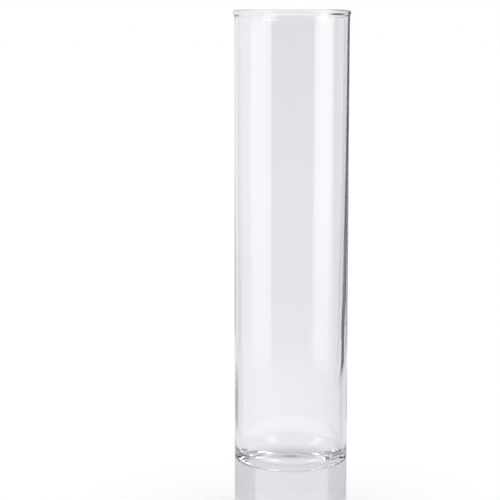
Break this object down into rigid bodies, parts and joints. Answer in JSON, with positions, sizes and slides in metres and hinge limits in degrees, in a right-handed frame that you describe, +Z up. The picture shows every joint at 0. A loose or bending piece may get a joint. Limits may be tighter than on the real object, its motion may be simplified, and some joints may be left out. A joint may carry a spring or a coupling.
{
  "type": "glass cylinder vase",
  "caption": "Tall clear glass cylinder vase with a fire-polished rim, walls that thicken downwards, a rounded cavity bottom and a heavy solid base.",
  "frame": {"origin": "centre of the underside, on the surface that the vase stands on", "axes": "+Z up along the axis of revolution, from the base to the mouth; X and Y are alike"},
  "size_m": [0.0612, 0.0612, 0.2715],
  "materials": {
    "clear_glass": "clear, fire-polished"
  },
  "bodies": {
    "root": {"rim_bead": "clear_glass", "straight_wall": "clear_glass", "thickening_wall": "clear_glass", "cavity_bowl": "clear_glass", "solid_base": "clear_glass"}
  },
  "joints": []
}
